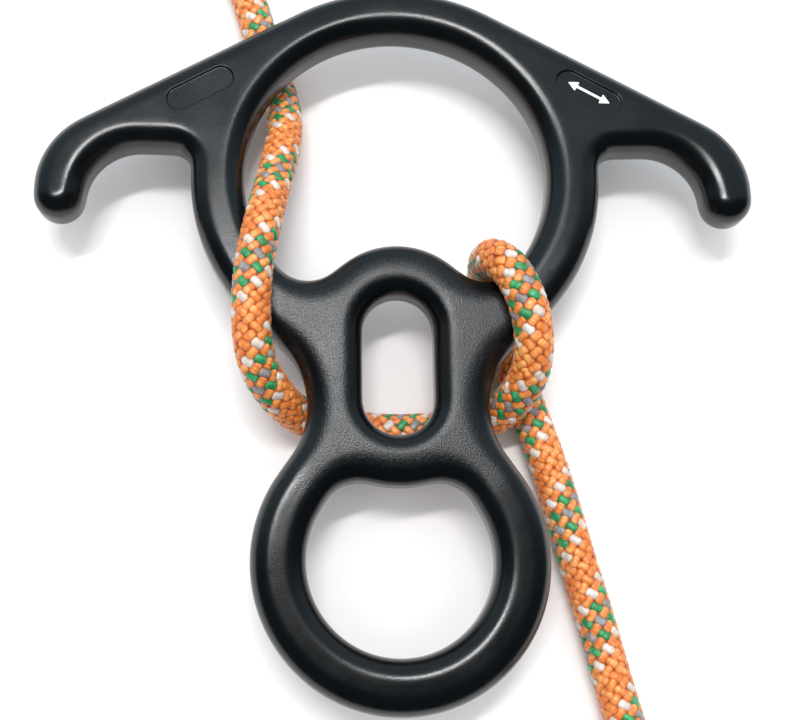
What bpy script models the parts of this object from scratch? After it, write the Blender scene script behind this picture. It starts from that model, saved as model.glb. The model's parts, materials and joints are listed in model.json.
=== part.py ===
"""Rescue figure-eight descender with two ears, rigged with a short length of kernmantle rope.

The descender lies flat: +X to the right ear, +Y from the small ring to the big ring, +Z up
through its thickness. The origin is the middle of the descender. Sizes are in metres.
"""
import math

import bmesh
import bpy
from mathutils import Vector

MM = 0.001

# The forging
THICKNESS = 14.0 * MM
EDGE_RADIUS = 5.5 * MM
EDGE_STEPS = 2
OUTLINE_CHORD = 3.2 * MM
OUTLINE_TURN = math.radians(14.0)

# Each circle: centre x, centre y, radius, and the way the outline runs round it (+1 is
# anticlockwise). The outline is a belt: arcs on the circles and the straight tangents between.
RING_OUTER = (0.0, 43.1, 56.2, +1)
EYE_OUTER = (0.0, -61.0, 38.3, +1)
WAIST = (45.7, -21.5, 21.8, -1)
EAR_ROOT = (61.75, 45.4, 5.5, -1)
EAR_HOLLOW = (70.5, 36.7, 14.4, -1)
EAR_TIP = (91.75, 36.9, 6.75, +1)
EAR_SHOULDER = (75.5, 39.2, 23.0, +1)

RING_HOLE = (0.0, 43.8, 41.75, +1)
RING_HOLE_VALLEY = (24.0, 23.1, 10.2, +1)
RING_HOLE_BUMP = (0.0, 0.5, 22.5, -1)

EYE_HOLE = (0.0, -61.1, 24.1, +1)
EYE_HOLE_CORNER = (10.5, -51.0, 10.0, +1)
EYE_HOLE_BUMP = (0.0, -14.4, 28.0, -1)

SLOT_TOP = (0.0, -0.6, 9.5, +1)
SLOT_BOTTOM = (0.0, -19.5, 9.5, +1)

# The shallow oval panel on each ear
PANEL_CENTRE = (53.8 * MM, 66.8 * MM)
PANEL_LENGTH = 20.0 * MM
PANEL_WIDTH = 7.2 * MM
PANEL_DEPTH = 0.5 * MM
PANEL_SLOPE = math.radians(29.5)

# The rope
ROPE_DIAMETER = 10.2 * MM
ROPE_SIDES_RESOLUTION = 3
WRAP_STEP = 5.0 * MM
STRAND_STEP = 22.0 * MM
STRAND_BENDS_STEP = 9.0 * MM
GAP = 0.3 * MM
END_ROUNDING_STEPS = 4
ROUND_END_TIP = 0.12

# Centre line of the rope in millimetres, from the load end to the brake end. The hinge
# points, where each strand leaves the descender, are the last and the first points.
LOAD_STRAND_ROUTE = (
    (-49.9, 129.0, -11.7), (-46.6, 119.0, -11.9), (-43.6, 110.0, -12.4),
    (-40.7, 100.5, -12.5), (-37.6, 90.0, -12.5),
)
WRAP_ROUTE = (
    (-37.6, 90.0, -12.5), (-35.4, 82.5, -12.5), (-32.9, 75.0, -12.2), (-31.3, 67.5, -9.6),
    (-31.0, 58.5, -5.2), (-32.2, 48.0, 0.0), (-34.0, 37.3, 5.2), (-36.0, 26.0, 10.3),
    (-37.8, 14.5, 12.6), (-38.4, 3.6, 12.5), (-38.0, -5.6, 10.6), (-36.2, -12.4, 6.2),
    (-32.6, -17.2, 0.2), (-28.6, -20.3, -6.5), (-23.9, -22.3, -11.3), (-16.5, -24.1, -12.6),
    (0.0, -25.7, -12.6), (15.0, -24.6, -12.6), (21.0, -23.2, -12.3), (25.8, -22.0, -10.0),
    (29.1, -20.2, -5.6), (31.9, -17.4, 0.0), (34.2, -12.9, 5.4), (34.7, -6.3, 10.2),
    (33.6, 1.5, 12.7), (31.3, 8.8, 12.6), (28.3, 14.7, 10.9), (25.8, 18.4, 6.2),
    (25.2, 19.8, 0.0), (25.4, 19.8, -6.4), (25.9, 16.7, -11.2), (27.0, 11.6, -12.6),
    (29.4, 4.6, -12.6), (32.2, -4.6, -12.6), (35.2, -14.6, -12.6), (37.6, -22.0, -12.5),
)
BRAKE_STRAND_ROUTE = (
    (37.6, -22.0, -12.5), (41.2, -33.2, -12.5), (44.6, -45.6, -12.5), (48.0, -59.4, -12.5),
    (52.0, -74.6, -12.5), (55.6, -89.8, -12.5), (59.2, -104.0, -12.4), (64.2, -123.0, -11.7),
)

# The shrunk sleeve that seals each cut rope end
SLEEVE_LENGTH = 14.0 * MM
SLEEVE_WALL = 0.6 * MM
SLEEVE_SEGMENTS = 20

BLACK_ANODISE = ((0.024, 0.030, 0.034), 0.38, 0.85)
ORANGE_SHEATH = ((0.86, 0.33, 0.07), 0.75, 0.0)
BLACK_SLEEVE = ((0.02, 0.02, 0.022), 0.5, 0.0)


def clear_scene():
    for obj in list(bpy.data.objects):
        bpy.data.objects.remove(obj, do_unlink=True)


def new_collection(name):
    collection = bpy.data.collections.new(name)
    bpy.context.scene.collection.children.link(collection)
    return collection


def new_material(name, look):
    colour, roughness, metallic = look
    material = bpy.data.materials.new(name)
    material.use_nodes = True
    shader = material.node_tree.nodes["Principled BSDF"]
    shader.inputs["Base Color"].default_value = (*colour, 1.0)
    shader.inputs["Roughness"].default_value = roughness
    shader.inputs["Metallic"].default_value = metallic
    return material


# ---- The outline of the forging ------------------------------------------------------------

def mirrored(circle):
    x, y, radius, turn = circle
    return (-x, y, radius, turn)


def tangent_normal(first, second):
    """Angle of the left normal of the tangent that runs from one circle to the next."""
    run = Vector((second[0] - first[0], second[1] - first[1]))
    offset = second[3] * second[2] - first[3] * first[2]
    return math.atan2(run.y, run.x) + math.acos(offset / run.length)


def arc_points(circle, normal_in, normal_out):
    x, y, radius, turn = circle
    start = normal_in + (math.pi if turn > 0 else 0.0)
    sweep = (turn * (normal_out - normal_in)) % (2.0 * math.pi)
    by_chord = radius * MM * sweep / OUTLINE_CHORD
    steps = max(1, math.ceil(max(by_chord, sweep / OUTLINE_TURN) if radius < 12 else by_chord))
    for step in range(steps + 1):
        angle = start + turn * sweep * step / steps
        yield (x + radius * math.cos(angle)) * MM, (y + radius * math.sin(angle)) * MM


def belt(circles):
    """Closed outline round a chain of circles, as points in order."""
    count = len(circles)
    normals = [tangent_normal(circles[i], circles[(i + 1) % count]) for i in range(count)]
    points = []
    for i, circle in enumerate(circles):
        for point in arc_points(circle, normals[i - 1], normals[i]):
            if not points or math.dist(point, points[-1]) > 0.2 * MM:
                points.append(point)
    if math.dist(points[0], points[-1]) < 0.2 * MM:
        points.pop()
    return points


def body_outlines():
    right_side = (WAIST, RING_OUTER, EAR_ROOT, EAR_HOLLOW, EAR_TIP, EAR_SHOULDER)
    left_side = [mirrored(circle) for circle in reversed(right_side)]
    return (
        belt([EYE_OUTER, *right_side, RING_OUTER, *left_side]),
        belt([RING_HOLE, mirrored(RING_HOLE_VALLEY), RING_HOLE_BUMP, RING_HOLE_VALLEY]),
        belt([EYE_HOLE, EYE_HOLE_CORNER, EYE_HOLE_BUMP, mirrored(EYE_HOLE_CORNER)]),
        belt([SLOT_TOP, SLOT_BOTTOM]),
    )


def flat_curve(name, outlines, half_thickness, rounding=0.0):
    """A filled 2D curve, extruded, with its edges rounded inside the outline."""
    curve = bpy.data.curves.new(name, "CURVE")
    curve.dimensions = "2D"
    curve.fill_mode = "BOTH"
    curve.extrude = half_thickness - rounding
    curve.bevel_depth = rounding
    curve.bevel_resolution = EDGE_STEPS
    curve.offset = -rounding
    for outline in outlines:
        spline = curve.splines.new("POLY")
        spline.points.add(len(outline) - 1)
        for point, (x, y) in zip(spline.points, outline):
            point.co = (x, y, 0.0, 1.0)
        spline.use_cyclic_u = True
    return bpy.data.objects.new(name, curve)


def as_mesh(curve_object, collection):
    """The curve as a welded mesh object under the same name."""
    collection.objects.link(curve_object)
    bpy.context.view_layer.update()
    name = curve_object.name
    evaluated = curve_object.evaluated_get(bpy.context.evaluated_depsgraph_get())
    mesh = bpy.data.meshes.new_from_object(evaluated)
    matrix = curve_object.matrix_world.copy()
    bpy.data.objects.remove(curve_object, do_unlink=True)
    welded = bmesh.new()
    welded.from_mesh(mesh)
    bmesh.ops.remove_doubles(welded, verts=welded.verts, dist=0.00001)
    welded.to_mesh(mesh)
    welded.free()
    mesh.name = name
    obj = bpy.data.objects.new(name, mesh)
    obj.matrix_world = matrix
    collection.objects.link(obj)
    return obj


def make_panel_cutter(side, cutters):
    straight = (PANEL_LENGTH - PANEL_WIDTH) / 2 / MM
    radius = PANEL_WIDTH / 2 / MM
    outline = belt([(straight, 0.0, radius, +1), (-straight, 0.0, radius, +1)])
    cutter = flat_curve("panel_cutter_" + ("right" if side > 0 else "left"), [outline], PANEL_DEPTH)
    cutter.location = (side * PANEL_CENTRE[0], PANEL_CENTRE[1], THICKNESS / 2)
    cutter.rotation_euler.z = -side * PANEL_SLOPE
    cutter = as_mesh(cutter, cutters)
    cutter.hide_render = True
    cutter.display_type = "WIRE"
    return cutter


def make_descender(parts, cutters):
    body = as_mesh(
        flat_curve("descender_body", body_outlines(), THICKNESS / 2, EDGE_RADIUS), parts)
    for side in (+1, -1):
        cut = body.modifiers.new("panel", "BOOLEAN")
        cut.operation = "DIFFERENCE"
        cut.solver = "EXACT"
        cut.object = make_panel_cutter(side, cutters)
    body.data.shade_smooth()
    body.data.set_sharp_from_angle(angle=math.radians(40))
    body.data.materials.append(new_material("black_anodise", BLACK_ANODISE))


# ---- The rope -----------------------------------------------------------------------------

def smooth_route(route, samples=24):
    """Points on a centripetal Catmull-Rom curve through the route, in metres."""
    knots = [Vector(point) * MM for point in route]
    knots = [knots[0] * 2 - knots[1], *knots, knots[-1] * 2 - knots[-2]]
    points = []
    for p0, p1, p2, p3 in zip(knots, knots[1:], knots[2:], knots[3:]):
        t0 = 0.0
        t1 = t0 + math.sqrt((p1 - p0).length)
        t2 = t1 + math.sqrt((p2 - p1).length)
        t3 = t2 + math.sqrt((p3 - p2).length)
        for i in range(samples):
            t = t1 + (t2 - t1) * i / samples
            a1 = p0.lerp(p1, (t - t0) / (t1 - t0))
            a2 = p1.lerp(p2, (t - t1) / (t2 - t1))
            a3 = p2.lerp(p3, (t - t2) / (t3 - t2))
            b1 = a1.lerp(a2, (t - t0) / (t2 - t0))
            b2 = a2.lerp(a3, (t - t1) / (t3 - t1))
            points.append(b1.lerp(b2, (t - t1) / (t2 - t1)))
    points.append(knots[-2])
    return points


def spaced(points, step, skip_start=0.0, skip_end=0.0):
    """Points a step apart along a dense line, leaving out a length at either end."""
    lengths = [0.0]
    for first, second in zip(points, points[1:]):
        lengths.append(lengths[-1] + (second - first).length)
    start, end = skip_start, lengths[-1] - skip_end
    count = max(2, round((end - start) / step) + 1)
    picked, index = [], 0
    for k in range(count):
        goal = start + (end - start) * k / (count - 1)
        while index < len(lengths) - 2 and lengths[index + 1] < goal:
            index += 1
        share = (goal - lengths[index]) / (lengths[index + 1] - lengths[index])
        picked.append(points[index].lerp(points[index + 1], share))
    return picked


def rope_tube(name, points, collection, material, round_start=False, round_end=False):
    """A rope as a tube; a round end is a hemisphere about the end point."""
    radius = ROPE_DIAMETER / 2
    stations = [(point, 1.0) for point in points]

    def hemisphere(tip, inward):
        cap = []
        for step in range(1, END_ROUNDING_STEPS + 1):
            angle = step / END_ROUNDING_STEPS * math.acos(ROUND_END_TIP)
            cap.append((tip - inward * radius * math.sin(angle), math.cos(angle)))
        return cap

    if round_start:
        cap = hemisphere(points[0], (points[1] - points[0]).normalized())
        stations = cap[::-1] + stations
    if round_end:
        stations = stations + hemisphere(points[-1], (points[-2] - points[-1]).normalized())
    curve = bpy.data.curves.new(name, "CURVE")
    curve.dimensions = "3D"
    curve.bevel_depth = radius
    curve.bevel_resolution = ROPE_SIDES_RESOLUTION
    curve.use_fill_caps = True
    spline = curve.splines.new("POLY")
    spline.points.add(len(stations) - 1)
    for place, (point, share) in zip(spline.points, stations):
        place.co = (*point, 1.0)
        place.radius = share
    curve.materials.append(material)
    collection.objects.link(bpy.data.objects.new(name, curve))


def make_rope(parts):
    joint_gap = ROPE_DIAMETER / 2 + GAP
    wrap = smooth_route(WRAP_ROUTE)
    load = smooth_route(LOAD_STRAND_ROUTE)
    brake = smooth_route(BRAKE_STRAND_ROUTE)
    colour = ORANGE_SHEATH
    rope_tube("rope_wrap", spaced(wrap, WRAP_STEP, joint_gap, joint_gap), parts,
              new_material("rope_wrap_sheath", colour))
    rope_tube("rope_load_strand", spaced(load, STRAND_BENDS_STEP), parts,
              new_material("rope_load_sheath", colour), round_end=True)
    rope_tube("rope_brake_strand", spaced(brake, STRAND_STEP), parts,
              new_material("rope_brake_sheath", colour), round_start=True)
    make_sleeve("load_end_sleeve", load[0], load[1] - load[0], parts)
    make_sleeve("brake_end_sleeve", brake[-1], brake[-2] - brake[-1], parts)


def make_sleeve(name, end, inward, collection):
    """An open collar turned about the rope's axis, flush with the rope's cut end."""
    inner = ROPE_DIAMETER / 2 + GAP
    outer = inner + SLEEVE_WALL
    mesh = bpy.data.meshes.new(name)
    turned = bmesh.new()
    section = [(outer, SLEEVE_LENGTH), (outer, 0.0), (inner, 0.0), (inner, SLEEVE_LENGTH)]
    verts = [turned.verts.new((r, 0.0, z)) for r, z in section]
    edges = [turned.edges.new((verts[i], verts[(i + 1) % 4])) for i in range(4)]
    bmesh.ops.spin(
        turned, geom=verts + edges, cent=(0, 0, 0), axis=(0, 0, 1), angle=2 * math.pi,
        steps=SLEEVE_SEGMENTS, use_merge=True, use_duplicate=False)
    bmesh.ops.recalc_face_normals(turned, faces=turned.faces)
    turned.to_mesh(mesh)
    turned.free()
    sleeve = bpy.data.objects.new(name, mesh)
    sleeve.location = end
    sleeve.rotation_mode = "QUATERNION"
    sleeve.rotation_quaternion = Vector((0, 0, 1)).rotation_difference(inward.normalized())
    sleeve.data.materials.append(new_material(name + "_tape", BLACK_SLEEVE))
    sleeve.data.shade_smooth()
    sleeve.data.set_sharp_from_angle(angle=math.radians(40))
    collection.objects.link(sleeve)


def main():
    clear_scene()
    parts = new_collection("rope_descender")
    cutters = new_collection("cutters")
    make_descender(parts, cutters)
    make_rope(parts)


main()
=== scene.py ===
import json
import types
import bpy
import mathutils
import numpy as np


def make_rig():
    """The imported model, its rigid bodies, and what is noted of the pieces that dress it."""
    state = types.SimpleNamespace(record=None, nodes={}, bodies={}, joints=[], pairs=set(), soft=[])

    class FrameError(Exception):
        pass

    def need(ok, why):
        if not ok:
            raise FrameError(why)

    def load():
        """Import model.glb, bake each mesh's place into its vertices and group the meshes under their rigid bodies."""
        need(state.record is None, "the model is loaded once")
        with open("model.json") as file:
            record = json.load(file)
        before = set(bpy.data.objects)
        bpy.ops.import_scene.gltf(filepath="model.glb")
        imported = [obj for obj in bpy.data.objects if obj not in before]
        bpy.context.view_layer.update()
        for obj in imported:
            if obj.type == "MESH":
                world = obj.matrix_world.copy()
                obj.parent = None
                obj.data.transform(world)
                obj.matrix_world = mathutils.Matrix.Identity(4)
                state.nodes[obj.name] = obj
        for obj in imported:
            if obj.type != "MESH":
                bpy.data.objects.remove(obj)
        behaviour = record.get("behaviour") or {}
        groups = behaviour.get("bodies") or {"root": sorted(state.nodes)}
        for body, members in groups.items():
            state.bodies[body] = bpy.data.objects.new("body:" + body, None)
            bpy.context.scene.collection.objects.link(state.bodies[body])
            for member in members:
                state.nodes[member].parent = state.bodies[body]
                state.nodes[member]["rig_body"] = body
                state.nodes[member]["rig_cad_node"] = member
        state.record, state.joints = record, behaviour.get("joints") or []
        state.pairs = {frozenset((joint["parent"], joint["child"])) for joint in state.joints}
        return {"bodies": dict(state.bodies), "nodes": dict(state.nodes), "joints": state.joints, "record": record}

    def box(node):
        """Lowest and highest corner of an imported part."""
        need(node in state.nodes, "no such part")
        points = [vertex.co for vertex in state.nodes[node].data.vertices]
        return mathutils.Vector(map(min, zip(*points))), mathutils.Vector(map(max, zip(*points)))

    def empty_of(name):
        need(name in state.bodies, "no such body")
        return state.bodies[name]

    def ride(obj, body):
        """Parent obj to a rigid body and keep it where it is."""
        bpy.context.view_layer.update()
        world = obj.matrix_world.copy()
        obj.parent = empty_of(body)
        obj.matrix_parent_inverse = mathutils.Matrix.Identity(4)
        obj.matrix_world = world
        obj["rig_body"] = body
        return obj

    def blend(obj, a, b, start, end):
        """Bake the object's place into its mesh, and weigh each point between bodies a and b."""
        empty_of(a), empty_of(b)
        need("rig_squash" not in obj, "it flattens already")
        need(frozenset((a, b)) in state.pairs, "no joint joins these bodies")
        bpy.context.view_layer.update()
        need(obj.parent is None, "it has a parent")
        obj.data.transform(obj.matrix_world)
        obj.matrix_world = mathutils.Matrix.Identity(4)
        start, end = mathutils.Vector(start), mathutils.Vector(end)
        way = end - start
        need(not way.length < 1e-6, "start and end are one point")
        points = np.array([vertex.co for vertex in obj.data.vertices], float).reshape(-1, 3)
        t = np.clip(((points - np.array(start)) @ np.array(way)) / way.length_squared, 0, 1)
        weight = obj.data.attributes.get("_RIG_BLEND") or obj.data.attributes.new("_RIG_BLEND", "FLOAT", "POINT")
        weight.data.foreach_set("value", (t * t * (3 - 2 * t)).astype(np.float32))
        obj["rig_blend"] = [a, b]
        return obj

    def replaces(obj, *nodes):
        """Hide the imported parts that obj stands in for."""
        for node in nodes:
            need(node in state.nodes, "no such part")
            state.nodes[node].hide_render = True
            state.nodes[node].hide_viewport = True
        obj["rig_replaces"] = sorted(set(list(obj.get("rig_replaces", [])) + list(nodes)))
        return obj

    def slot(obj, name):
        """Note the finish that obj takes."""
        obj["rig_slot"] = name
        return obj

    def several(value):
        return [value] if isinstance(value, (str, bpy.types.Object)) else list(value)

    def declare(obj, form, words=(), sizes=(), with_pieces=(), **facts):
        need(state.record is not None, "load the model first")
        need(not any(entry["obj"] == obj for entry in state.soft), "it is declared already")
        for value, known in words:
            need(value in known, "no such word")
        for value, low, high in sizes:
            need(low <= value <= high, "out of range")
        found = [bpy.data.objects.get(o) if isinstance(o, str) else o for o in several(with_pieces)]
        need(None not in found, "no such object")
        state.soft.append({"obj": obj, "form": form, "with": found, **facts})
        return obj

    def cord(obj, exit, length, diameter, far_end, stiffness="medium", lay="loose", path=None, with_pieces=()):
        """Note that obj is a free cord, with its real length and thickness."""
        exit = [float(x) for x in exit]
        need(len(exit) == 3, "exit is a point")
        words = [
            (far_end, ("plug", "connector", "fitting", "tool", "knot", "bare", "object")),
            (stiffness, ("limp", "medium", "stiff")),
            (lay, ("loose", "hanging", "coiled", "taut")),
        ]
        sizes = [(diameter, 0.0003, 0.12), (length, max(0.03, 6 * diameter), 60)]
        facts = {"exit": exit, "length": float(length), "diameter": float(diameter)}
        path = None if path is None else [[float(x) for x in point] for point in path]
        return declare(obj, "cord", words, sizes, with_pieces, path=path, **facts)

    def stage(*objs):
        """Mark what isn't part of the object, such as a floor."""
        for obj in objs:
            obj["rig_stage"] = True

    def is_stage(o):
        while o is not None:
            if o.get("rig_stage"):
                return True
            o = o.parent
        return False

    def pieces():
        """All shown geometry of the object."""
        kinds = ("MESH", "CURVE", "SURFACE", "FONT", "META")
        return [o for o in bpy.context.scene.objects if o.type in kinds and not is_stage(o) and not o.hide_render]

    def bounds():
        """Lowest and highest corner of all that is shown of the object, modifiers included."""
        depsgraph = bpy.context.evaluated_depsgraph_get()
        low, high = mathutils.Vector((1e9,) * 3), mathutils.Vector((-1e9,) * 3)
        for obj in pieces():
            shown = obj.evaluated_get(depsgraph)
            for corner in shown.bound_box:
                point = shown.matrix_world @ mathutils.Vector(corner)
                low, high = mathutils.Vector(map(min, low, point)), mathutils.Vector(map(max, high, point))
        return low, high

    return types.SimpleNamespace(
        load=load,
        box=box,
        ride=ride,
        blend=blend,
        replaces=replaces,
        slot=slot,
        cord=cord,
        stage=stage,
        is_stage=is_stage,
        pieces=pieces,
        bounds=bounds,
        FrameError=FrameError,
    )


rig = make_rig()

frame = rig.load()

import json
import math

import bmesh
import bpy
import numpy as np
from mathutils import Matrix, Vector
from mathutils.geometry import delaunay_2d_cdt

CAD_LOW, CAD_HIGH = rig.bounds()
MM = 0.001

# ---- Driving dimensions, in millimetres, repeated from part.py -----------------------------

BODY_LOW, BODY_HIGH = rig.box("descender_body")
THICKNESS = (BODY_HIGH[2] - BODY_LOW[2]) / MM
EDGE_RADIUS = 5.5
EDGE_STEPS = 9
WALL_STEPS = 2
ARC_STEP = 0.25
OUTLINE_STEP = 0.8
OUTLINE_SMOOTHING = 1.2
FACE_GRID = 1.3
ROW_HEIGHT = 0.866
RIM_CLEARANCE = 0.55
MERGE_DISTANCE = 0.00002

# Circles of the outlines: x, y, radius, and +1 where the outline runs anticlockwise round it
RING_OUTER = (0.0, 43.1, 56.2, +1)
EYE_OUTER = (0.0, -61.0, 38.3, +1)
WAIST = (45.7, -21.5, 21.8, -1)
EAR_ROOT = (61.75, 45.4, 5.5, -1)
EAR_HOLLOW = (70.5, 36.7, 14.4, -1)
EAR_TIP = (91.75, 36.9, 6.75, +1)
EAR_SHOULDER = (75.5, 39.2, 23.0, +1)
RING_HOLE = (0.0, 43.8, 41.75, +1)
RING_HOLE_VALLEY = (24.0, 23.1, 10.2, +1)
RING_HOLE_BUMP = (0.0, 0.5, 22.5, -1)
EYE_HOLE = (0.0, -61.1, 24.1, +1)
EYE_HOLE_CORNER = (10.5, -51.0, 10.0, +1)
EYE_HOLE_BUMP = (0.0, -14.4, 28.0, -1)
SLOT_TOP = (0.0, -0.6, 9.5, +1)
SLOT_BOTTOM = (0.0, -19.5, 9.5, +1)

PANEL_CENTRE = (53.8, 66.8)
PANEL_LENGTH = 20.0
PANEL_WIDTH = 7.2
PANEL_DEPTH = 0.5
PANEL_SLOPE = math.radians(29.5)
# Rows of points along the panel's rim, as distances inside it
PANEL_RIM = (-0.9, -0.45, -0.15, 0.0, 0.1, 0.25, 0.4, 0.5, 0.65, 0.95, 1.4)
PANEL_STEP = 0.3
PANEL_CLEARANCE = 0.5
PANEL_POINT_STEP = 0.5
# The web is an ellipse round the slot, where the outline's edges are rounded wider than elsewhere
WEB_CENTRE = (0.0, -8.0)
WEB_REACH = (30.0, 36.0)
WEB_EDGE_WIDTH = 8.0
# Where the rounding starts to widen, and over how far, as fractions of the web's reach
WEB_EDGE_START = 1.3
WEB_EDGE_FADE = 0.4

ROPE_DIAMETER = 10.2
LOAD_STRAND_ROUTE = (
    (-49.9, 129.0, -11.7), (-46.6, 119.0, -11.9), (-43.6, 110.0, -12.4),
    (-40.7, 100.5, -12.5), (-37.6, 90.0, -12.5),
)
WRAP_ROUTE = (
    (-37.6, 90.0, -12.5), (-35.4, 82.5, -12.5), (-32.9, 75.0, -12.2), (-31.3, 67.5, -9.6),
    (-31.0, 58.5, -5.2), (-32.2, 48.0, 0.0), (-34.0, 37.3, 5.2), (-36.0, 26.0, 10.3),
    (-37.8, 14.5, 12.6), (-38.4, 3.6, 12.5), (-38.0, -5.6, 10.6), (-36.2, -12.4, 6.2),
    (-32.6, -17.2, 0.2), (-28.6, -20.3, -6.5), (-23.9, -22.3, -11.3), (-16.5, -24.1, -12.6),
    (0.0, -25.7, -12.6), (15.0, -24.6, -12.6), (21.0, -23.2, -12.3), (25.8, -22.0, -10.0),
    (29.1, -20.2, -5.6), (31.9, -17.4, 0.0), (34.2, -12.9, 5.4), (34.7, -6.3, 10.2),
    (33.6, 1.5, 12.7), (31.3, 8.8, 12.6), (28.3, 14.7, 10.9), (25.8, 18.4, 6.2),
    (25.2, 19.8, 0.0), (25.4, 19.8, -6.4), (25.9, 16.7, -11.2), (27.0, 11.6, -12.6),
    (29.4, 4.6, -12.6), (32.2, -4.6, -12.6), (35.2, -14.6, -12.6), (37.6, -22.0, -12.5),
)
BRAKE_STRAND_ROUTE = (
    (37.6, -22.0, -12.5), (41.2, -33.2, -12.5), (44.6, -45.6, -12.5), (48.0, -59.4, -12.5),
    (52.0, -74.6, -12.5), (55.6, -89.8, -12.5), (59.2, -104.0, -12.4), (64.2, -123.0, -11.7),
)

# The braid: eight carriers each way, over one and under one
CARRIERS = 8
BRAID_LEAD = 28.8
BRAID_PHASE = math.radians(62.0)
YARN_HALF_WIDTH = 1.45
YARN_SPREAD = 0.22
YARN_SQUARENESS = 0.77
YARN_HALF_THICKNESS = 0.70
BRAID_SWING = 0.60
BRAID_MIDDLE = 3.92
CREVICE_RADIUS = 4.25
CROWN_RADIUS = 5.2
YARN_SIDES = 12
STATIONS_PER_CROSSING = 6
CORE_RADIUS = 3.7
CORE_SIDES = 16
UV_LENGTH = 10.0
PATH_STRIDE = 4
ROUTE_SAMPLES = 24
ROUTE_SMOOTHING = 1.4
ROUTE_SMOOTHING_REACH = 4.0
CARRIER_COLOURS = ("white", "green", "grey", "green", "white", "orange", "orange", "orange")
# How far inside the wrap a strand's own mesh starts, and where it bends about its hinge
LOAD_OVERLAP = 25.0
BRAKE_OVERLAP = 7.0
BEND_BEFORE = 4.0
BEND_AFTER = 16.0

# The arrow painted in the right ear's panel
MARK_LENGTH = 13.0
MARK_HEIGHT = 3.0
MARK_HEAD = 2.8
MARK_BAR = 0.75
MARK_CORNER = 0.15
MARK_RISE = 0.12
MARK_SINK = 0.03

# The camera, in millimetres and degrees
CAMERA_TARGET = (-11.35, -8.36, 0.0)
CAMERA_DISTANCE = 300.0
CAMERA_TILT = 13.85
CAMERA_SIDE = 1.95
CAMERA_ROLL = -0.26
CAMERA_SHIFT = 0.0506
CAMERA_MM_PER_PIXEL = 0.2658
IMAGE_WIDTH = 790
SENSOR_WIDTH = 36.0

# Floor and lights, in metres, watts and degrees
FLOOR_SIZE = 24.0
FLOOR_GAP = 0.0006
KEY_PLACE = (-0.1, 0.28, 1.15)
KEY_SIZE = (0.5, 0.07)
KEY_POWER = 8.0
FILL_STRENGTH = 2.7
FILL_SPREAD = 120.0
FILL_LEAN = -8.0
# The studio's strength rises from the first value to the second between these heights along Y
STUDIO_HEIGHTS = (-0.05, 0.55)
STUDIO_STRENGTHS = (0.05, 0.60)


# ---- Camera, lights and floor ---------------------------------------------------------------

def new_object(name, data):
    obj = bpy.data.objects.new(name, data)
    bpy.context.scene.collection.objects.link(obj)
    return obj


def make_camera():
    back = Vector((-math.tan(math.radians(CAMERA_SIDE)), -math.tan(math.radians(CAMERA_TILT)), 1))
    back.normalize()
    level = Vector((0, 1, 0)).cross(back).normalized()
    raised = back.cross(level)
    roll = math.radians(CAMERA_ROLL)
    right = level * math.cos(roll) + raised * math.sin(roll)
    up = raised * math.cos(roll) - level * math.sin(roll)
    data = bpy.data.cameras.new("camera")
    data.sensor_width = SENSOR_WIDTH
    data.lens = CAMERA_DISTANCE / CAMERA_MM_PER_PIXEL * SENSOR_WIDTH / IMAGE_WIDTH
    data.shift_x = CAMERA_SHIFT
    data.clip_start = 0.01
    data.clip_end = 30.0
    camera = new_object("camera", data)
    place = (Vector(CAMERA_TARGET) + back * CAMERA_DISTANCE) * MM
    turn = Matrix((right, up, back)).transposed().to_4x4()
    camera.matrix_world = Matrix.Translation(place) @ turn
    bpy.context.scene.camera = camera


def make_world():
    """A studio that is brighter behind the object than in front of it; the view sees it pale."""
    world = bpy.data.worlds.new("studio")
    bpy.context.scene.world = world
    world.use_nodes = True
    nodes, links = world.node_tree.nodes, world.node_tree.links
    nodes.clear()
    coordinates = nodes.new("ShaderNodeTexCoord")
    split = nodes.new("ShaderNodeSeparateXYZ")
    links.new(coordinates.outputs["Generated"], split.inputs[0])
    ramp = nodes.new("ShaderNodeMapRange")
    ramp.interpolation_type = "SMOOTHSTEP"
    ramp.inputs["From Min"].default_value = STUDIO_HEIGHTS[0]
    ramp.inputs["From Max"].default_value = STUDIO_HEIGHTS[1]
    ramp.inputs["To Min"].default_value = STUDIO_STRENGTHS[0]
    ramp.inputs["To Max"].default_value = STUDIO_STRENGTHS[1]
    links.new(split.outputs["Y"], ramp.inputs["Value"])
    studio = nodes.new("ShaderNodeBackground")
    studio.inputs["Color"].default_value = (0.70, 0.92, 1.06, 1.0)
    links.new(ramp.outputs[0], studio.inputs["Strength"])
    pale = nodes.new("ShaderNodeBackground")
    pale.inputs["Color"].default_value = (0.9, 0.9, 0.9, 1.0)
    seen = nodes.new("ShaderNodeLightPath")
    mix = nodes.new("ShaderNodeMixShader")
    links.new(seen.outputs["Is Camera Ray"], mix.inputs[0])
    links.new(studio.outputs[0], mix.inputs[1])
    links.new(pale.outputs[0], mix.inputs[2])
    output = nodes.new("ShaderNodeOutputWorld")
    links.new(mix.outputs[0], output.inputs["Surface"])


def make_floor():
    bpy.ops.mesh.primitive_plane_add(size=FLOOR_SIZE, location=(0, 0, CAD_LOW[2] - FLOOR_GAP))
    floor = bpy.context.object
    floor.name = "floor"
    floor.data.materials.append(new_material("floor_paper", (0.90, 0.87, 0.86), 0.9))
    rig.stage(floor)
    return floor


def make_key():
    data = bpy.data.lights.new("key_softbox", "AREA")
    data.shape = "RECTANGLE"
    data.size, data.size_y = KEY_SIZE
    data.energy = KEY_POWER
    key = new_object("key_softbox", data)
    key.location = KEY_PLACE
    key.rotation_euler = (-Vector(KEY_PLACE)).to_track_quat("-Z", "Y").to_euler()


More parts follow.
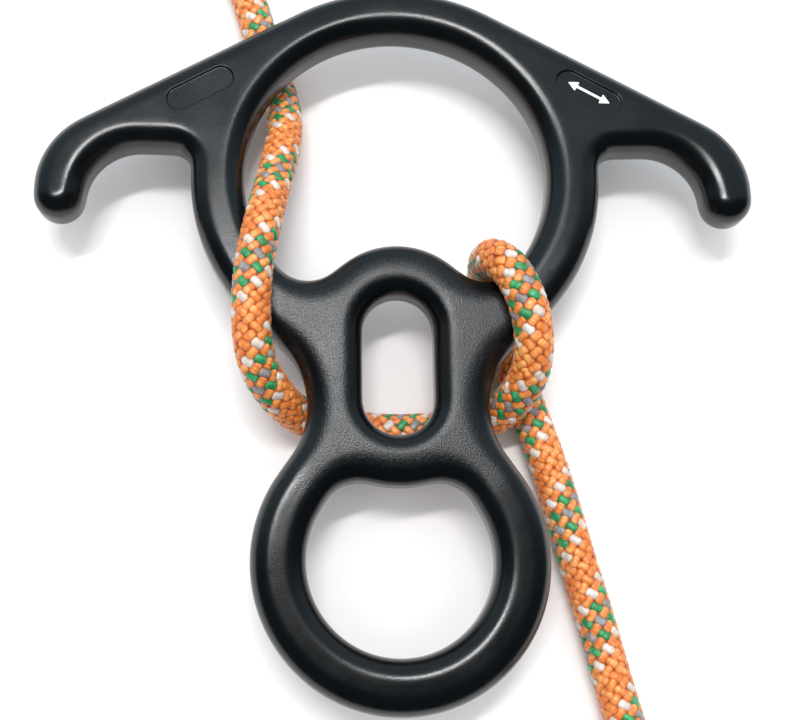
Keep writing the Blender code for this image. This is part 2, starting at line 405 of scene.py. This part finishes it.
def make_fill(softly_lit):
    """A wide light from above for the floor and the rope. The black metal doesn't mirror it."""
    data = bpy.data.lights.new("overhead_fill", "SUN")
    data.energy = FILL_STRENGTH
    data.angle = math.radians(FILL_SPREAD)
    fill = new_object("overhead_fill", data)
    fill.rotation_euler = (math.radians(FILL_LEAN), 0, 0)
    group = bpy.data.collections.new("softly_lit")
    for piece in softly_lit:
        group.objects.link(piece)
    fill.light_linking.receiver_collection = group


# ---- Materials --------------------------------------------------------------------------------

def new_material(name, colour, roughness, metallic=0.0, **inputs):
    material = bpy.data.materials.new(name)
    material.use_nodes = True
    shader = material.node_tree.nodes["Principled BSDF"]
    shader.inputs["Base Color"].default_value = (*colour, 1.0)
    shader.inputs["Roughness"].default_value = roughness
    shader.inputs["Metallic"].default_value = metallic
    for key, value in inputs.items():
        shader.inputs[key.replace("_", " ")].default_value = value
    return material


class Nodes:
    """Short names for building one material's node tree."""

    def __init__(self, material):
        self.nodes = material.node_tree.nodes
        self.links = material.node_tree.links
        self.shader = self.nodes["Principled BSDF"]

    def new(self, kind, inputs=(), **settings):
        node = self.nodes.new("ShaderNode" + kind)
        for key, value in settings.items():
            setattr(node, key, value)
        for key, value in dict(inputs).items():
            self.set(node.inputs[key], value)
        return node

    def set(self, socket, value):
        if isinstance(value, bpy.types.NodeSocket):
            self.links.new(value, socket)
        else:
            socket.default_value = value

    def place(self):
        """The shaded point in the object's own metres."""
        return self.new("TexCoord").outputs["Object"]

    def noise(self, vector, scale, detail=3.0, roughness=0.5):
        inputs = {"Vector": vector, "Scale": scale, "Detail": detail, "Roughness": roughness}
        return self.new("TexNoise", inputs).outputs["Fac"]

    def math(self, operation, first, second=0.0):
        return self.new("Math", {0: first, 1: second}, operation=operation).outputs[0]

    def span(self, value, low, high, out_low=0.0, out_high=1.0, smooth=False):
        """The value's place between low and high, stretched to the output range and clamped."""
        kind = "SMOOTHSTEP" if smooth else "LINEAR"
        return self.new("MapRange", {
            "Value": value, "From Min": low, "From Max": high, "To Min": out_low,
            "To Max": out_high}, interpolation_type=kind).outputs[0]

    def blend(self, factor, first, second):
        mix = self.new("Mix", data_type="RGBA")
        self.set(mix.inputs[0], factor)
        for socket, colour in ((mix.inputs[6], first), (mix.inputs[7], second)):
            self.set(socket, colour if isinstance(colour, bpy.types.NodeSocket) else (*colour, 1.0))
        return mix.outputs[2]

    def bump(self, height, strength, distance, normal=None):
        node = self.new("Bump", {"Height": height, "Strength": strength, "Distance": distance})
        if normal is not None:
            self.links.new(normal, node.inputs["Normal"])
        return node.outputs["Normal"]


def web_mask(tree, place):
    """1 on the flat of the web, fading to 0 outside its ellipse and on the rounded edges."""
    split = tree.new("SeparateXYZ", {0: place})
    squares = []
    for axis, centre, reach in zip("XY", WEB_CENTRE, WEB_REACH):
        offset = tree.math("SUBTRACT", split.outputs[axis], centre * MM)
        squares.append(tree.math("POWER", tree.math("DIVIDE", offset, reach * MM), 2.0))
    uneven = tree.span(tree.noise(place, 120.0, 3.0), 0.3, 0.7, -0.12, 0.12)
    distance = tree.math("ADD", tree.math("ADD", *squares), uneven)
    face = tree.new("NewGeometry").outputs["Normal"]
    upright = tree.math("ABSOLUTE", tree.new("SeparateXYZ", {0: face}).outputs["Z"])
    flat = tree.span(upright, 0.90, 0.99, smooth=True)
    return tree.math("MULTIPLY", tree.span(distance, 1.9, 1.1, smooth=True), flat)


def anodised_material():
    """Satin black anodising over a forged surface: smooth on the bars, grainy on the web, whose flat is painted
    lighter, partly as grain and partly as a painted sheen.
    """
    material = new_material("black_anodise", (0.004, 0.005, 0.006), 0.3)
    tree = Nodes(material)
    place = tree.place()
    web = web_mask(tree, place)
    grain = tree.noise(place, 2300.0, 2.0, 0.6)
    speck = tree.span(tree.noise(place, 2300.0, 2.0, 0.7), 0.45, 0.72, smooth=True)
    patches = tree.noise(place, 55.0, 3.0)
    plain = tree.blend(patches, (0.0035, 0.0045, 0.0052), (0.007, 0.009, 0.0105))
    # the web's up-facing flat is painted lighter in specks: partly the forging's grain, partly a painted sheen of the
    # light from above
    grain_and_painted_sheen = tree.blend(speck, (0.007, 0.008, 0.009), (0.055, 0.058, 0.060))
    tree.set(tree.shader.inputs["Base Color"], tree.blend(web, plain, grain_and_painted_sheen))
    bars = tree.span(patches, 0.35, 0.7, 0.20, 0.27)
    rough = tree.math("ADD", tree.math("MULTIPLY", web, 0.08), bars)
    tree.set(tree.shader.inputs["Roughness"], rough)
    fine = tree.bump(grain, tree.span(web, 0.0, 1.0, 0.22, 0.7), 0.00012)
    swell = tree.bump(tree.noise(place, 110.0, 2.0), 0.05, 0.0005, fine)
    tree.set(tree.shader.inputs["Normal"], swell)
    return material


# Each yarn's tints: painted shade deep in the braid, its own colour on its side, and a painted highlight on the
# filaments at the braid's crowns
YARN_TINTS = {
    "orange": ((0.15, 0.016, 0.001), (0.66, 0.15, 0.010), (0.86, 0.39, 0.11)),
    "green": ((0.0, 0.030, 0.009), (0.003, 0.185, 0.044), (0.045, 0.37, 0.13)),
    "white": ((0.20, 0.11, 0.06), (0.57, 0.47, 0.39), (0.78, 0.71, 0.65)),
    "grey": ((0.053, 0.046, 0.042), (0.19, 0.171, 0.167), (0.32, 0.296, 0.289)),
}


def yarn_material(name):
    """Bright polyester yarn: fine parallel filaments with a soft sheen, with painted shade where it dives into the
    braid and painted highlights on its crowns.
    """
    deep, middle, light = YARN_TINTS[name]
    material = new_material("yarn_" + name, middle, 0.38, Sheen_Weight=0.2, Sheen_Roughness=0.4)
    tree = Nodes(material)
    tree.shader.inputs["Specular IOR Level"].default_value = 0.6
    uv = tree.new("TexCoord").outputs["UV"]
    lie = tree.new("Mapping", {"Vector": uv, "Scale": (1.0, 0.16, 1.0), "Rotation": (0, 0, 0.10)})
    filament = tree.noise(lie.outputs[0], 22.0, 3.0, 0.6)
    crown = tree.new("Attribute", attribute_name="crown").outputs["Fac"]
    dyed = tree.noise(tree.place(), 400.0, 2.0)
    height = tree.math("ADD", crown, tree.span(dyed, 0.3, 0.7, -0.12, 0.12))
    # painted shade: the colour darkens to the deep tint where the yarn lies low in the braid's crevices, by the crown
    # attribute with a random jitter
    side = tree.blend(tree.span(height, 0.42, 0.86, smooth=True), deep, middle)
    # painted highlight: the light tint in streaks along the filaments where the yarn lies on the braid's crowns
    painted_filament_highlight = tree.span(filament, 0.38, 0.62, 0.0, 0.9)
    bright = tree.math("ADD", painted_filament_highlight, tree.span(dyed, 0.4, 0.65, -0.3, 0.4))
    painted_highlight_mask = tree.math("MULTIPLY", tree.span(height, 0.8, 1.02, smooth=True), bright)
    tree.set(tree.shader.inputs["Base Color"], tree.blend(painted_highlight_mask, side, light))
    tree.set(tree.shader.inputs["Normal"], tree.bump(filament, 0.7, 0.00025))
    return material


def core_material():
    """White nylon core, fused to a brownish glaze where the rope is cut."""
    material = new_material("rope_core", (0.7, 0.66, 0.6), 0.5)
    tree = Nodes(material)
    melt = tree.noise(tree.place(), 500.0, 3.0)
    colour = tree.blend(melt, (0.62, 0.55, 0.46), (0.30, 0.20, 0.12))
    tree.set(tree.shader.inputs["Base Color"], colour)
    tree.set(tree.shader.inputs["Normal"], tree.bump(melt, 0.5, 0.0004))
    return material


def sleeve_material():
    """Black heat-shrink tube, slightly uneven where it has shrunk on to the braid."""
    material = new_material("heat_shrink", (0.015, 0.015, 0.016), 0.42)
    tree = Nodes(material)
    place = tree.place()
    dust = tree.noise(place, 350.0, 4.0, 0.7)
    colour = tree.blend(dust, (0.012, 0.012, 0.013), (0.026, 0.026, 0.027))
    tree.set(tree.shader.inputs["Base Color"], colour)
    tree.set(tree.shader.inputs["Roughness"], tree.span(dust, 0.3, 0.7, 0.34, 0.52))
    under = tree.new("TexVoronoi", {"Vector": place, "Scale": 330.0}, feature="SMOOTH_F1")
    tree.set(tree.shader.inputs["Normal"], tree.bump(under.outputs["Distance"], 0.35, 0.0005))
    return material


def paint_material():
    """White marking paint with worn, slightly uneven cover."""
    material = new_material("white_marking", (0.8, 0.8, 0.8), 0.5)
    tree = Nodes(material)
    worn = tree.span(tree.noise(tree.place(), 1500.0, 3.0, 0.6), 0.55, 0.75)
    colour = tree.blend(worn, (0.86, 0.87, 0.87), (0.55, 0.56, 0.57))
    tree.set(tree.shader.inputs["Base Color"], colour)
    tree.set(tree.shader.inputs["Normal"], tree.bump(worn, 0.3, 0.0001))
    return material


# ---- The forging --------------------------------------------------------------------------------

def mirrored(circle):
    x, y, radius, turn = circle
    return (-x, y, radius, turn)


def tangent_normal(first, second):
    """Angle of the left normal of the tangent that runs from one circle to the next."""
    run = Vector((second[0] - first[0], second[1] - first[1]))
    offset = second[3] * second[2] - first[3] * first[2]
    return math.atan2(run.y, run.x) + math.acos(offset / run.length)


def belt(circles):
    """Closed outline of arcs and tangents round a chain of circles, as an array of points."""
    count = len(circles)
    normals = [tangent_normal(circles[i], circles[(i + 1) % count]) for i in range(count)]
    points = []
    for i, (x, y, radius, turn) in enumerate(circles):
        start = normals[i - 1] + (math.pi if turn > 0 else 0.0)
        sweep = (turn * (normals[i] - normals[i - 1])) % (2.0 * math.pi)
        steps = max(2, math.ceil(radius * sweep / ARC_STEP))
        angle = start + turn * sweep * np.linspace(0, 1, steps + 1)
        points.append(np.stack([x + radius * np.cos(angle), y + radius * np.sin(angle)], 1))
    return np.concatenate(points)


def length_along(points):
    """Distance from the first point to each point."""
    return np.concatenate([[0], np.cumsum(np.linalg.norm(np.diff(points, axis=0), axis=1))])


def evenly(points, step):
    """A closed line again, with points about step apart."""
    ring = np.vstack([points, points[:1]])
    along = length_along(ring)
    at = np.linspace(0, along[-1], max(12, round(along[-1] / step)) + 1)[:-1]
    return np.stack([np.interp(at, along, ring[:, k]) for k in range(2)], 1)


def eased(points, width, step):
    """A closed line with its changes of curvature spread over width."""
    reach = int(3 * width / step) + 1
    weights = np.exp(-0.5 * (np.arange(-reach, reach + 1) * step / width) ** 2)
    weights /= weights.sum()
    return sum(w * np.roll(points, k, axis=0) for k, w in zip(range(-reach, reach + 1), weights))


def inward_normals(points):
    """Unit normals towards the left of a closed line, which is the metal's side."""
    along = np.roll(points, -1, axis=0) - np.roll(points, 1, axis=0)
    along /= np.linalg.norm(along, axis=1)[:, None]
    return np.stack([-along[:, 1], along[:, 0]], 1)


def body_outlines():
    """The outer outline, the two round holes and, last, the slot, with metal on their left."""
    right_side = (WAIST, RING_OUTER, EAR_ROOT, EAR_HOLLOW, EAR_TIP, EAR_SHOULDER)
    left_side = [mirrored(circle) for circle in reversed(right_side)]
    loops = [
        belt([EYE_OUTER, *right_side, RING_OUTER, *left_side]),
        belt([RING_HOLE, mirrored(RING_HOLE_VALLEY), RING_HOLE_BUMP, RING_HOLE_VALLEY])[::-1],
        belt([EYE_HOLE, EYE_HOLE_CORNER, EYE_HOLE_BUMP, mirrored(EYE_HOLE_CORNER)])[::-1],
        belt([SLOT_TOP, SLOT_BOTTOM])[::-1],
    ]
    return [eased(evenly(loop, OUTLINE_STEP), OUTLINE_SMOOTHING, OUTLINE_STEP) for loop in loops]


def inside(points, loop):
    """Which points lie inside a closed line."""
    x, y = points[:, 0][:, None], points[:, 1][:, None]
    x0, y0 = loop[:, 0], loop[:, 1]
    x1, y1 = np.roll(x0, -1), np.roll(y0, -1)
    crosses = (y0 > y) != (y1 > y)
    at = x0 + (y - y0) / np.where(y1 == y0, 1e-12, y1 - y0) * (x1 - x0)
    return (crosses & (x < at)).sum(1) % 2 == 1


def gap_to(points, loop):
    """Distance from each point to a closed line's nearest point."""
    return np.sqrt(((points[:, None, :] - loop[None, :, :]) ** 2).sum(2).min(1))


def panel_distance(points, side):
    """Signed distance inside the rim of an ear's oval panel, positive inside."""
    turn = -side * PANEL_SLOPE
    x = points[:, 0] - side * PANEL_CENTRE[0]
    y = points[:, 1] - PANEL_CENTRE[1]
    u = x * math.cos(turn) + y * math.sin(turn)
    v = -x * math.sin(turn) + y * math.cos(turn)
    half = (PANEL_LENGTH - PANEL_WIDTH) / 2
    return PANEL_WIDTH / 2 - np.hypot(u - np.clip(u, -half, half), v)


def panel_loop(side, inset):
    """The panel's oval, moved in from its rim."""
    radius = PANEL_WIDTH / 2 - inset
    half = (PANEL_LENGTH - PANEL_WIDTH) / 2
    loop = evenly(belt([(half, 0, radius, +1), (-half, 0, radius, +1)]), PANEL_POINT_STEP)
    turn = -side * PANEL_SLOPE
    spin = np.array([[math.cos(turn), -math.sin(turn)], [math.sin(turn), math.cos(turn)]])
    return loop @ spin.T + (side * PANEL_CENTRE[0], PANEL_CENTRE[1])


def edge_widths(loop, is_slot):
    """How far in the rounding reaches at each point of an outline."""
    out = (loop - WEB_CENTRE) / WEB_REACH
    distance = np.hypot(out[:, 0], out[:, 1])
    near = 0.0 if is_slot else smoothstep((WEB_EDGE_START - distance) / WEB_EDGE_FADE)
    return (EDGE_RADIUS + (WEB_EDGE_WIDTH - EDGE_RADIUS) * near) * np.ones(len(loop))


def smoothstep(value):
    value = np.clip(value, 0.0, 1.0)
    return value * value * (3 - 2 * value)


def in_metal(points, rims):
    """Which points lie inside the outer rim and outside every hole."""
    keep = inside(points, rims[0])
    for hole in rims[1:]:
        keep &= ~inside(points, hole)
    return keep


def triangle_grid(rims):
    """Points on a grid of equal triangles over the flat side, clear of its rims."""
    low, high = rims[0].min(0), rims[0].max(0)
    xs = np.arange(low[0], high[0], FACE_GRID)
    ys = np.arange(low[1], high[1], FACE_GRID * ROW_HEIGHT)
    grid = np.stack(np.meshgrid(xs, ys), -1)
    grid[1::2, :, 0] += FACE_GRID / 2
    grid = grid.reshape(-1, 2)
    grid = grid[in_metal(grid, rims)]
    to_rim = np.min([gap_to(grid, rim) for rim in rims], axis=0)
    return grid[to_rim > FACE_GRID * RIM_CLEARANCE]


def face_sheet(rims, panel_sides):
    """Triangles over the flat side between its rims, and how far each point lies below it."""
    loops = list(rims)
    grid = triangle_grid(rims)
    for side in panel_sides:
        loops += [panel_loop(side, inset) for inset in PANEL_RIM]
        depth = panel_distance(grid, side)
        below = depth < PANEL_RIM[0] - PANEL_CLEARANCE
        grid = grid[below | (depth > PANEL_RIM[-1] + PANEL_CLEARANCE)]
    edges, start = [], 0
    for loop in loops:
        edges += [(start + i, start + (i + 1) % len(loop)) for i in range(len(loop))]
        start += len(loop)
    points = [Vector(point) for point in np.concatenate([*loops, grid])]
    found = delaunay_2d_cdt(points, edges, [], 0, 1e-5)
    flat = np.array([tuple(point) for point in found[0]])
    faces = np.array([face for face in found[2] if len(face) == 3])
    faces = faces[in_metal(flat[faces].mean(1), rims)]
    sunk = np.zeros(len(flat))
    for side in panel_sides:
        sunk += PANEL_DEPTH * smoothstep(panel_distance(flat, side) / PANEL_STEP)
    return flat, faces, sunk


def edge_profile():
    """Inset and height down the wall, from the front face's edge to the back face's."""
    half = THICKNESS / 2
    profile = []
    for level in range(EDGE_STEPS + 1):
        angle = math.pi / 2 * (1 - level / EDGE_STEPS)
        inset = EDGE_RADIUS * (1 - math.cos(angle))
        profile.append((inset, half - EDGE_RADIUS * (1 - math.sin(angle))))
    wall = half - EDGE_RADIUS
    profile += [(0.0, wall * (1 - 2 * k / WALL_STEPS)) for k in range(1, WALL_STEPS)]
    profile += [(inset, -z) for inset, z in reversed(profile[:EDGE_STEPS + 1])]
    return profile


def add_wall(mesh, loop, normals):
    """The rounded wall along one outline."""
    rings = []
    for inset, z in edge_profile():
        line = loop + normals * inset
        rings.append([mesh.verts.new((x * MM, y * MM, z * MM)) for x, y in line])
    for upper, lower in zip(rings, rings[1:]):
        for i in range(len(upper)):
            j = (i + 1) % len(upper)
            mesh.faces.new((upper[i], lower[i], lower[j], upper[j]))


def add_side(mesh, rims, sign, panel_sides):
    """The flat front (sign +1) or back (sign -1)."""
    flat, faces, sunk = face_sheet(rims, panel_sides)
    verts = [
        mesh.verts.new((x * MM, y * MM, sign * (THICKNESS / 2 - depth) * MM))
        for (x, y), depth in zip(flat, sunk)]
    for a, b, c in faces:
        mesh.faces.new((verts[a], verts[b], verts[c])[::sign])


def make_forging():
    """The forged body: rounded walls along its outlines, and panels sunk in the front."""
    loops = body_outlines()
    mesh = bmesh.new()
    rims = []
    for loop in loops:
        widths = edge_widths(loop, loop is loops[-1]) / EDGE_RADIUS
        normals = inward_normals(loop) * widths[:, None]
        rims.append(loop + normals * EDGE_RADIUS)
        add_wall(mesh, loop, normals)
    add_side(mesh, rims, +1, (+1, -1))
    add_side(mesh, rims, -1, ())
    bmesh.ops.remove_doubles(mesh, verts=mesh.verts, dist=MERGE_DISTANCE)
    loose = [v for v in mesh.verts if not v.link_faces]
    bmesh.ops.delete(mesh, geom=loose, context="VERTS")
    bmesh.ops.recalc_face_normals(mesh, faces=mesh.faces)
    data = bpy.data.meshes.new("forged_body")
    mesh.to_mesh(data)
    mesh.free()
    data.shade_smooth()
    data.materials.append(anodised_material())
    body = new_object("forged_body", data)
    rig.ride(body, "descender")
    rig.replaces(body, "descender_body")
    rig.slot(body, "black_anodised_alloy")


# ---- The rope -----------------------------------------------------------------------------------

def smooth_route(route):
    """Points on a centripetal Catmull-Rom curve through the route."""
    knots = [np.array(point, float) for point in route]
    knots = [knots[0] * 2 - knots[1], *knots, knots[-1] * 2 - knots[-2]]
    points = []
    for p0, p1, p2, p3 in zip(knots, knots[1:], knots[2:], knots[3:]):
        t0 = 0.0
        t1 = t0 + math.sqrt(np.linalg.norm(p1 - p0))
        t2 = t1 + math.sqrt(np.linalg.norm(p2 - p1))
        t3 = t2 + math.sqrt(np.linalg.norm(p3 - p2))
        for i in range(ROUTE_SAMPLES):
            t = t1 + (t2 - t1) * i / ROUTE_SAMPLES
            a1 = p0 + (p1 - p0) * (t - t0) / (t1 - t0)
            a2 = p1 + (p2 - p1) * (t - t1) / (t2 - t1)
            a3 = p2 + (p3 - p2) * (t - t2) / (t3 - t2)
            b1 = a1 + (a2 - a1) * (t - t0) / (t2 - t0)
            b2 = a2 + (a3 - a2) * (t - t1) / (t3 - t1)
            points.append(b1 + (b2 - b1) * (t - t1) / (t2 - t1))
    points.append(knots[-2])
    return np.array(points)


def softened(line, step):
    """The line with its small kinks smoothed out, and its two ends kept."""
    reach = int(ROUTE_SMOOTHING_REACH / step)
    weights = np.exp(-0.5 * (np.arange(-reach, reach + 1) * step / ROUTE_SMOOTHING) ** 2)
    weights /= weights.sum()
    ahead = line[0] + (line[0] - line[1]) * np.arange(reach, 0, -1)[:, None]
    behind = line[-1] + (line[-1] - line[-2]) * np.arange(1, reach + 1)[:, None]
    padded = np.vstack([ahead, line, behind])
    return np.stack([np.convolve(padded[:, k], weights, "valid") for k in range(3)], 1)


def untwisted_sides(tangents):
    """A unit vector square to the line at each station, which never turns about the line."""
    side = np.cross(tangents[0], (0, 0, 1.0))
    sides = [side / np.linalg.norm(side)]
    for tangent in tangents[1:]:
        side = sides[-1] - tangent * (sides[-1] @ tangent)
        sides.append(side / np.linalg.norm(side))
    return np.array(sides)


class RopeLine:
    """The rope's centre line with a frame that doesn't twist, at even stations."""

    def __init__(self, step):
        load, wrap, brake = map(smooth_route, (LOAD_STRAND_ROUTE, WRAP_ROUTE, BRAKE_STRAND_ROUTE))
        whole = np.concatenate([load, wrap[1:], brake[1:]])
        along = length_along(whole)
        at = np.linspace(0, along[-1], round(along[-1] / step) + 1)
        line = np.stack([np.interp(at, along, whole[:, k]) for k in range(3)], 1)
        self.points = softened(line, step)
        self.at = length_along(self.points)
        self.load_hinge = float(along[len(load) - 1])
        self.brake_hinge = float(along[len(load) + len(wrap) - 2])
        tangent = np.gradient(self.points, axis=0)
        tangent /= np.linalg.norm(tangent, axis=1)[:, None]
        self.side = untwisted_sides(tangent)
        self.other = np.cross(tangent, self.side)

    def index(self, distance):
        return int(np.clip(np.searchsorted(self.at, distance), 0, len(self.at) - 1))

    def point(self, distance):
        return Vector(self.points[self.index(distance)] * MM)


def yarn_rings(line, number, turn):
    """One carrier's yarn: the rings of its section at every station."""
    turns = turn * line.at / BRAID_LEAD + number / CARRIERS
    angle = 2 * math.pi * turns + BRAID_PHASE
    wave = turn * np.cos(CARRIERS * (angle - BRAID_PHASE))
    radius = BRAID_MIDDLE + BRAID_SWING * wave
    outward = line.side * np.cos(angle)[:, None] + line.other * np.sin(angle)[:, None]
    centre = line.points + outward * radius[:, None]
    along = np.gradient(centre, axis=0)
    along /= np.linalg.norm(along, axis=1)[:, None]
    up = outward - along * (outward * along).sum(1)[:, None]
    up /= np.linalg.norm(up, axis=1)[:, None]
    across = np.cross(along, up)
    width = YARN_HALF_WIDTH * (1.0 + YARN_SPREAD * wave)
    around = 2 * math.pi * np.arange(YARN_SIDES) / YARN_SIDES
    round_section = (np.cos(around), np.sin(around))
    wide, tall = (np.sign(part) * np.abs(part) ** YARN_SQUARENESS for part in round_section)
    return (
        centre[:, None, :]
        + across[:, None, :] * (width[:, None] * wide[None, :])[:, :, None]
        + up[:, None, :] * (YARN_HALF_THICKNESS * tall)[None, :, None])


def core_rings(line):
    """The round core: the rings of its section at every station."""
    around = 2 * math.pi * np.arange(CORE_SIDES) / CORE_SIDES
    return (
        line.points[:, None, :]
        + CORE_RADIUS * line.side[:, None, :] * np.cos(around)[None, :, None]
        + CORE_RADIUS * line.other[:, None, :] * np.sin(around)[None, :, None])


def tube_faces(stations, sides, offset):
    """The quads between a tube's rings, whose vertices start at offset."""
    i = np.arange(stations - 1)[:, None] * sides
    k = np.arange(sides)[None, :]
    following = (k + 1) % sides
    corners = (i + k, i + following, i + sides + following, i + sides + k)
    return np.stack(corners, -1).reshape(-1, 4) + offset


def tube_uvs(at, sides):
    """Each quad corner's place round the tube and along it."""
    u = np.arange(sides) / sides
    v = at / UV_LENGTH
    corner_u = np.tile(np.stack([u, u + 1 / sides, u + 1 / sides, u], -1), (len(v) - 1, 1))
    corner_v = np.repeat(np.stack([v[:-1], v[:-1], v[1:], v[1:]], -1), sides, axis=0)
    return np.stack([corner_u, corner_v], -1).reshape(-1, 2)


def carriers(line):
    """The rings and the material's slot of each of the braid's yarns, and of the core."""
    slots = {colour: slot for slot, colour in enumerate(YARN_TINTS)}
    for number in range(CARRIERS):
        for turn in (+1, -1):
            colour = CARRIER_COLOURS[number] if turn > 0 else "orange"
            yield yarn_rings(line, number, turn), slots[colour]
    yield core_rings(line), len(slots)


def rope_mesh(name, line, start, end, materials):
    """The braided sheath and the core of one stretch of the rope, each yarn a closed tube."""
    first, last = line.index(start), line.index(end) + 1
    path, at = line.points[first:last], line.at[first:last]
    verts, quads, caps, quad_slots, cap_slots, crowns, uvs = [], [], [], [], [], [], []
    offset = 0
    for rings, slot in carriers(line):
        rings = rings[first:last]
        stations, sides = rings.shape[:2]
        radius = np.linalg.norm(rings - path[:, None, :], axis=2)
        # crown: how high each point lies in the braid; the yarn material paints shade low down and highlights on top
        # from it
        crowns.append((radius.ravel() - CREVICE_RADIUS) / (CROWN_RADIUS - CREVICE_RADIUS))
        verts.append(rings.reshape(-1, 3) * MM)
        faces = tube_faces(stations, sides, offset)
        quads.append(faces)
        quad_slots.append(np.full(len(faces), slot))
        uvs.append(tube_uvs(at, sides))
        ring = range(offset, offset + sides)
        caps += [tuple(reversed(ring)), tuple(i + (stations - 1) * sides for i in ring)]
        cap_slots += [slot, slot]
        offset += stations * sides
    mesh = bpy.data.meshes.new(name)
    faces = [*map(tuple, np.concatenate(quads).tolist()), *caps]
    mesh.from_pydata(np.concatenate(verts).tolist(), [], faces)
    for material in materials:
        mesh.materials.append(material)
    slots = np.concatenate([*quad_slots, cap_slots]).astype(np.int32)
    mesh.polygons.foreach_set("material_index", slots)
    layer = mesh.uv_layers.new(name="yarn")
    corners = np.concatenate([*uvs, np.zeros((sum(map(len, caps)), 2))])
    layer.data.foreach_set("uv", corners.astype(np.float32).ravel())
    attribute = mesh.attributes.new("crown", "FLOAT", "POINT")
    crown = np.clip(np.concatenate(crowns), 0, 1)
    attribute.data.foreach_set("value", crown.astype(np.float32))
    mesh.shade_smooth()
    mesh.set_sharp_from_angle(angle=math.radians(60))
    mesh.update()
    mesh.validate()
    return new_object(name, mesh), path * MM


def make_rope():
    """One rope in three pieces, so that the two free strands can swing. Returns the pieces."""
    line = RopeLine(BRAID_LEAD / (2 * CARRIERS) / STATIONS_PER_CROSSING)
    whole = line.at[-1]
    materials = [yarn_material(name) for name in YARN_TINTS] + [core_material()]
    load_cut = line.load_hinge + LOAD_OVERLAP
    brake_cut = line.brake_hinge - BRAKE_OVERLAP
    load, load_path = rope_mesh("rope_load_braid", line, 0.0, load_cut, materials)
    wrap, wrap_path = rope_mesh("rope_wrap_braid", line, load_cut, brake_cut, materials)
    brake, brake_path = rope_mesh("rope_brake_braid", line, brake_cut, whole, materials)
    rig.ride(wrap, "descender")
    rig.blend(
        load, "descender", "load_strand",
        line.point(line.load_hinge + BEND_BEFORE), line.point(line.load_hinge - BEND_AFTER))
    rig.blend(
        brake, "descender", "brake_strand",
        line.point(line.brake_hinge - BEND_BEFORE), line.point(line.brake_hinge + BEND_AFTER))
    nodes = ((load, "rope_load_strand"), (wrap, "rope_wrap"), (brake, "rope_brake_strand"))
    for piece, node in nodes:
        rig.replaces(piece, node)
        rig.slot(piece, "kernmantle_rope")
    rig.cord(
        load, exit=load_path[-1], length=load_cut * MM, diameter=ROPE_DIAMETER * MM,
        far_end="bare", stiffness="medium", lay="loose", path=load_path[::PATH_STRIDE],
        with_pieces=["load_end_sleeve"])
    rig.cord(
        wrap, exit=wrap_path[0], length=(brake_cut - load_cut) * MM, diameter=ROPE_DIAMETER * MM,
        far_end="object", stiffness="medium", lay="loose", path=wrap_path[::PATH_STRIDE])
    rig.cord(
        brake, exit=brake_path[0], length=(whole - brake_cut) * MM, diameter=ROPE_DIAMETER * MM,
        far_end="bare", stiffness="medium", lay="loose", path=brake_path[::PATH_STRIDE],
        with_pieces=["brake_end_sleeve"])
    return [load, wrap, brake]


# ---- The mark and the sleeves -------------------------------------------------------------------

def make_mark():
    """A plain two-headed arrow in white paint, sunk in the right ear's panel."""
    half = MARK_LENGTH / 2
    neck = half - MARK_HEAD
    side = [(half, 0.0), (neck, MARK_HEIGHT / 2), (neck, MARK_BAR / 2)]
    upper = side + [(-x, y) for x, y in reversed(side)]
    outline = upper + [(x, -y) for x, y in reversed(upper[1:-1])]
    mesh = bmesh.new()
    face = mesh.faces.new([mesh.verts.new((x * MM, y * MM, 0.0)) for x, y in outline])
    bmesh.ops.bevel(
        mesh, geom=face.verts[:], offset=MARK_CORNER * MM, segments=3, affect="VERTICES")
    faces = bmesh.ops.extrude_face_region(mesh, geom=mesh.faces[:])["geom"]
    top = [item for item in faces if isinstance(item, bmesh.types.BMVert)]
    bmesh.ops.translate(mesh, verts=top, vec=(0, 0, MARK_RISE * MM))
    bmesh.ops.recalc_face_normals(mesh, faces=mesh.faces)
    turn = Matrix.Rotation(-PANEL_SLOPE, 4, "Z")
    floor = THICKNESS / 2 - PANEL_DEPTH - MARK_SINK
    place = Matrix.Translation(Vector((PANEL_CENTRE[0], PANEL_CENTRE[1], floor)) * MM)
    bmesh.ops.transform(mesh, matrix=place @ turn, verts=mesh.verts)
    data = bpy.data.meshes.new("load_mark")
    mesh.to_mesh(data)
    mesh.free()
    data.materials.append(paint_material())
    mark = new_object("load_mark", data)
    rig.ride(mark, "descender")
    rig.slot(mark, "white_paint")
    return mark


def finish_sleeves():
    """Gives the two CAD end sleeves, which are carried over as they are, their material."""
    material = sleeve_material()
    sleeves = [bpy.data.objects[name] for name in ("load_end_sleeve", "brake_end_sleeve")]
    for sleeve in sleeves:
        for slot in sleeve.material_slots:
            slot.material = material
    return sleeves


bpy.context.scene.view_settings.view_transform = "Standard"
make_camera()
rope = make_rope()
make_forging()
make_world()
make_key()
make_fill([make_floor(), make_mark(), *rope, *finish_sleeves()])

low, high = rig.bounds()
with open("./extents.json", "w") as out:
    json.dump({"cad": [list(CAD_LOW), list(CAD_HIGH)], "visual": [list(low), list(high)]}, out)
